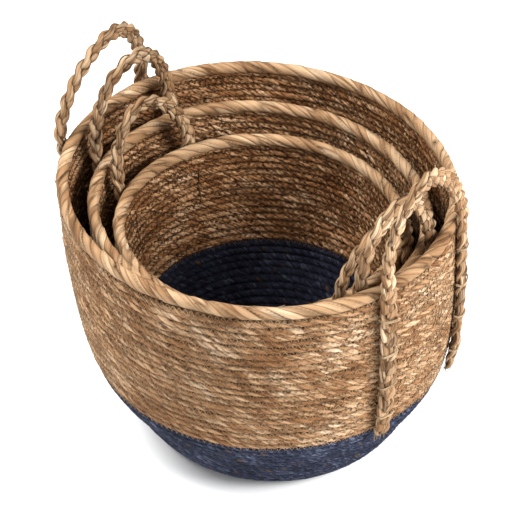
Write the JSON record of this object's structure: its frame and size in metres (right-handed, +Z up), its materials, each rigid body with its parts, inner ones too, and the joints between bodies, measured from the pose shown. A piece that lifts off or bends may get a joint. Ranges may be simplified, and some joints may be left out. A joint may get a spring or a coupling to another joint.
{
  "type": "nested woven laundry basket set",
  "caption": "Round coiled rush laundry baskets nested in one another, with navy bases, thick rims and braided handles that fold; the inner baskets lift out.",
  "frame": {"origin": "centre of the large basket's flat underside, on the surface that it stands on", "axes": "+Z up; +X from the base's centre towards the right handle of the large basket; +Y across"},
  "size_m": [0.4497, 0.4118, 0.4336],
  "materials": {
    "navy_rope": "matt twisted paper rope, dyed navy",
    "rush_rope": "dry twisted rush, satin strips",
    "rim_rush": "dry twisted rush, satin strips",
    "rush_braid": "dry braided rush, satin strips",
    "raffia_tie": "pale raffia thread"
  },
  "bodies": {
    "large_basket": {"large_left_handle_leg_back": "rush_braid", "large_left_handle_leg_back_tie_1": "raffia_tie", "large_left_handle_leg_back_tie_2": "raffia_tie", "large_left_handle_leg_back_tie_3": "raffia_tie", "large_left_handle_leg_back_tie_4": "raffia_tie", "large_left_handle_leg_front": "rush_braid", "large_left_handle_leg_front_tie_1": "raffia_tie", "large_left_handle_leg_front_tie_2": "raffia_tie", "large_left_handle_leg_front_tie_3": "raffia_tie", "large_left_handle_leg_front_tie_4": "raffia_tie", "large_navy_base": "navy_rope", "large_right_handle_leg_back": "rush_braid", "large_right_handle_leg_back_tie_1": "raffia_tie", "large_right_handle_leg_back_tie_2": "raffia_tie", "large_right_handle_leg_back_tie_3": "raffia_tie", "large_right_handle_leg_back_tie_4": "raffia_tie", "large_right_handle_leg_front": "rush_braid", "large_right_handle_leg_front_tie_1": "raffia_tie", "large_right_handle_leg_front_tie_2": "raffia_tie", "large_right_handle_leg_front_tie_3": "raffia_tie", "large_right_handle_leg_front_tie_4": "raffia_tie", "large_rim_rope": "rim_rush", "large_rush_wall": "rush_rope"},
    "large_right_handle": {"large_right_handle_arch": "rush_braid"},
    "large_left_handle": {"large_left_handle_arch": "rush_braid"},
    "medium_basket": {"medium_left_handle_leg_back": "rush_braid", "medium_left_handle_leg_back_tie_1": "raffia_tie", "medium_left_handle_leg_back_tie_2": "raffia_tie", "medium_left_handle_leg_front": "rush_braid", "medium_left_handle_leg_front_tie_1": "raffia_tie", "medium_left_handle_leg_front_tie_2": "raffia_tie", "medium_navy_base": "navy_rope", "medium_right_handle_leg_back": "rush_braid", "medium_right_handle_leg_back_tie_1": "raffia_tie", "medium_right_handle_leg_back_tie_2": "raffia_tie", "medium_right_handle_leg_front": "rush_braid", "medium_right_handle_leg_front_tie_1": "raffia_tie", "medium_right_handle_leg_front_tie_2": "raffia_tie", "medium_rim_rope": "rim_rush", "medium_rush_wall": "rush_rope"},
    "medium_right_handle": {"medium_right_handle_arch": "rush_braid"},
    "medium_left_handle": {"medium_left_handle_arch": "rush_braid"},
    "small_basket": {"small_left_handle_leg_back": "rush_braid", "small_left_handle_leg_back_tie_1": "raffia_tie", "small_left_handle_leg_back_tie_2": "raffia_tie", "small_left_handle_leg_front": "rush_braid", "small_left_handle_leg_front_tie_1": "raffia_tie", "small_left_handle_leg_front_tie_2": "raffia_tie", "small_navy_base": "navy_rope", "small_right_handle_leg_back": "rush_braid", "small_right_handle_leg_back_tie_1": "raffia_tie", "small_right_handle_leg_back_tie_2": "raffia_tie", "small_right_handle_leg_front": "rush_braid", "small_right_handle_leg_front_tie_1": "raffia_tie", "small_right_handle_leg_front_tie_2": "raffia_tie", "small_rim_rope": "rim_rush", "small_rush_wall": "rush_rope"},
    "small_right_handle": {"small_right_handle_arch": "rush_braid"},
    "small_left_handle": {"small_left_handle_arch": "rush_braid"}
  },
  "joints": [
    {"name": "medium_lift", "type": "slide", "parent": "large_basket", "child": "medium_basket", "axis": [0, 0, 1], "range_m": [0, 0.3]},
    {"name": "small_lift", "type": "slide", "parent": "medium_basket", "child": "small_basket", "axis": [0, 0, 1], "range_m": [0, 0.25]},
    {"name": "large_right_handle_fold", "type": "hinge", "parent": "large_basket", "child": "large_right_handle", "pos_m": [0.19338, -0.01291, 0.3126], "axis": [-0.0562, 0.9984, 0], "range_deg": [-8, 85]},
    {"name": "large_left_handle_fold", "type": "hinge", "parent": "large_basket", "child": "large_left_handle", "pos_m": [-0.22338, -0.01029, 0.3126], "axis": [0.0562, -0.9984, 0], "range_deg": [-11, 85]},
    {"name": "medium_right_handle_fold", "type": "hinge", "parent": "medium_basket", "child": "medium_right_handle", "pos_m": [0.16911, -0.02899, 0.2809], "axis": [0.0409, 0.9992, 0], "range_deg": [-10, 0]},
    {"name": "medium_left_handle_fold", "type": "hinge", "parent": "medium_basket", "child": "medium_left_handle", "pos_m": [-0.19601, 0.00819, 0.2809], "axis": [-0.0409, -0.9992, 0], "range_deg": [-13, 8]},
    {"name": "small_right_handle_fold", "type": "hinge", "parent": "small_basket", "child": "small_right_handle", "pos_m": [0.1371, -0.01923, 0.2592], "axis": [0.0507, 0.9987, 0], "range_deg": [-75, 2]},
    {"name": "small_left_handle_fold", "type": "hinge", "parent": "small_basket", "child": "small_left_handle", "pos_m": [-0.16188, 0.00006, 0.2592], "axis": [-0.0507, -0.9987, 0], "range_deg": [-75, 12]}
  ]
}
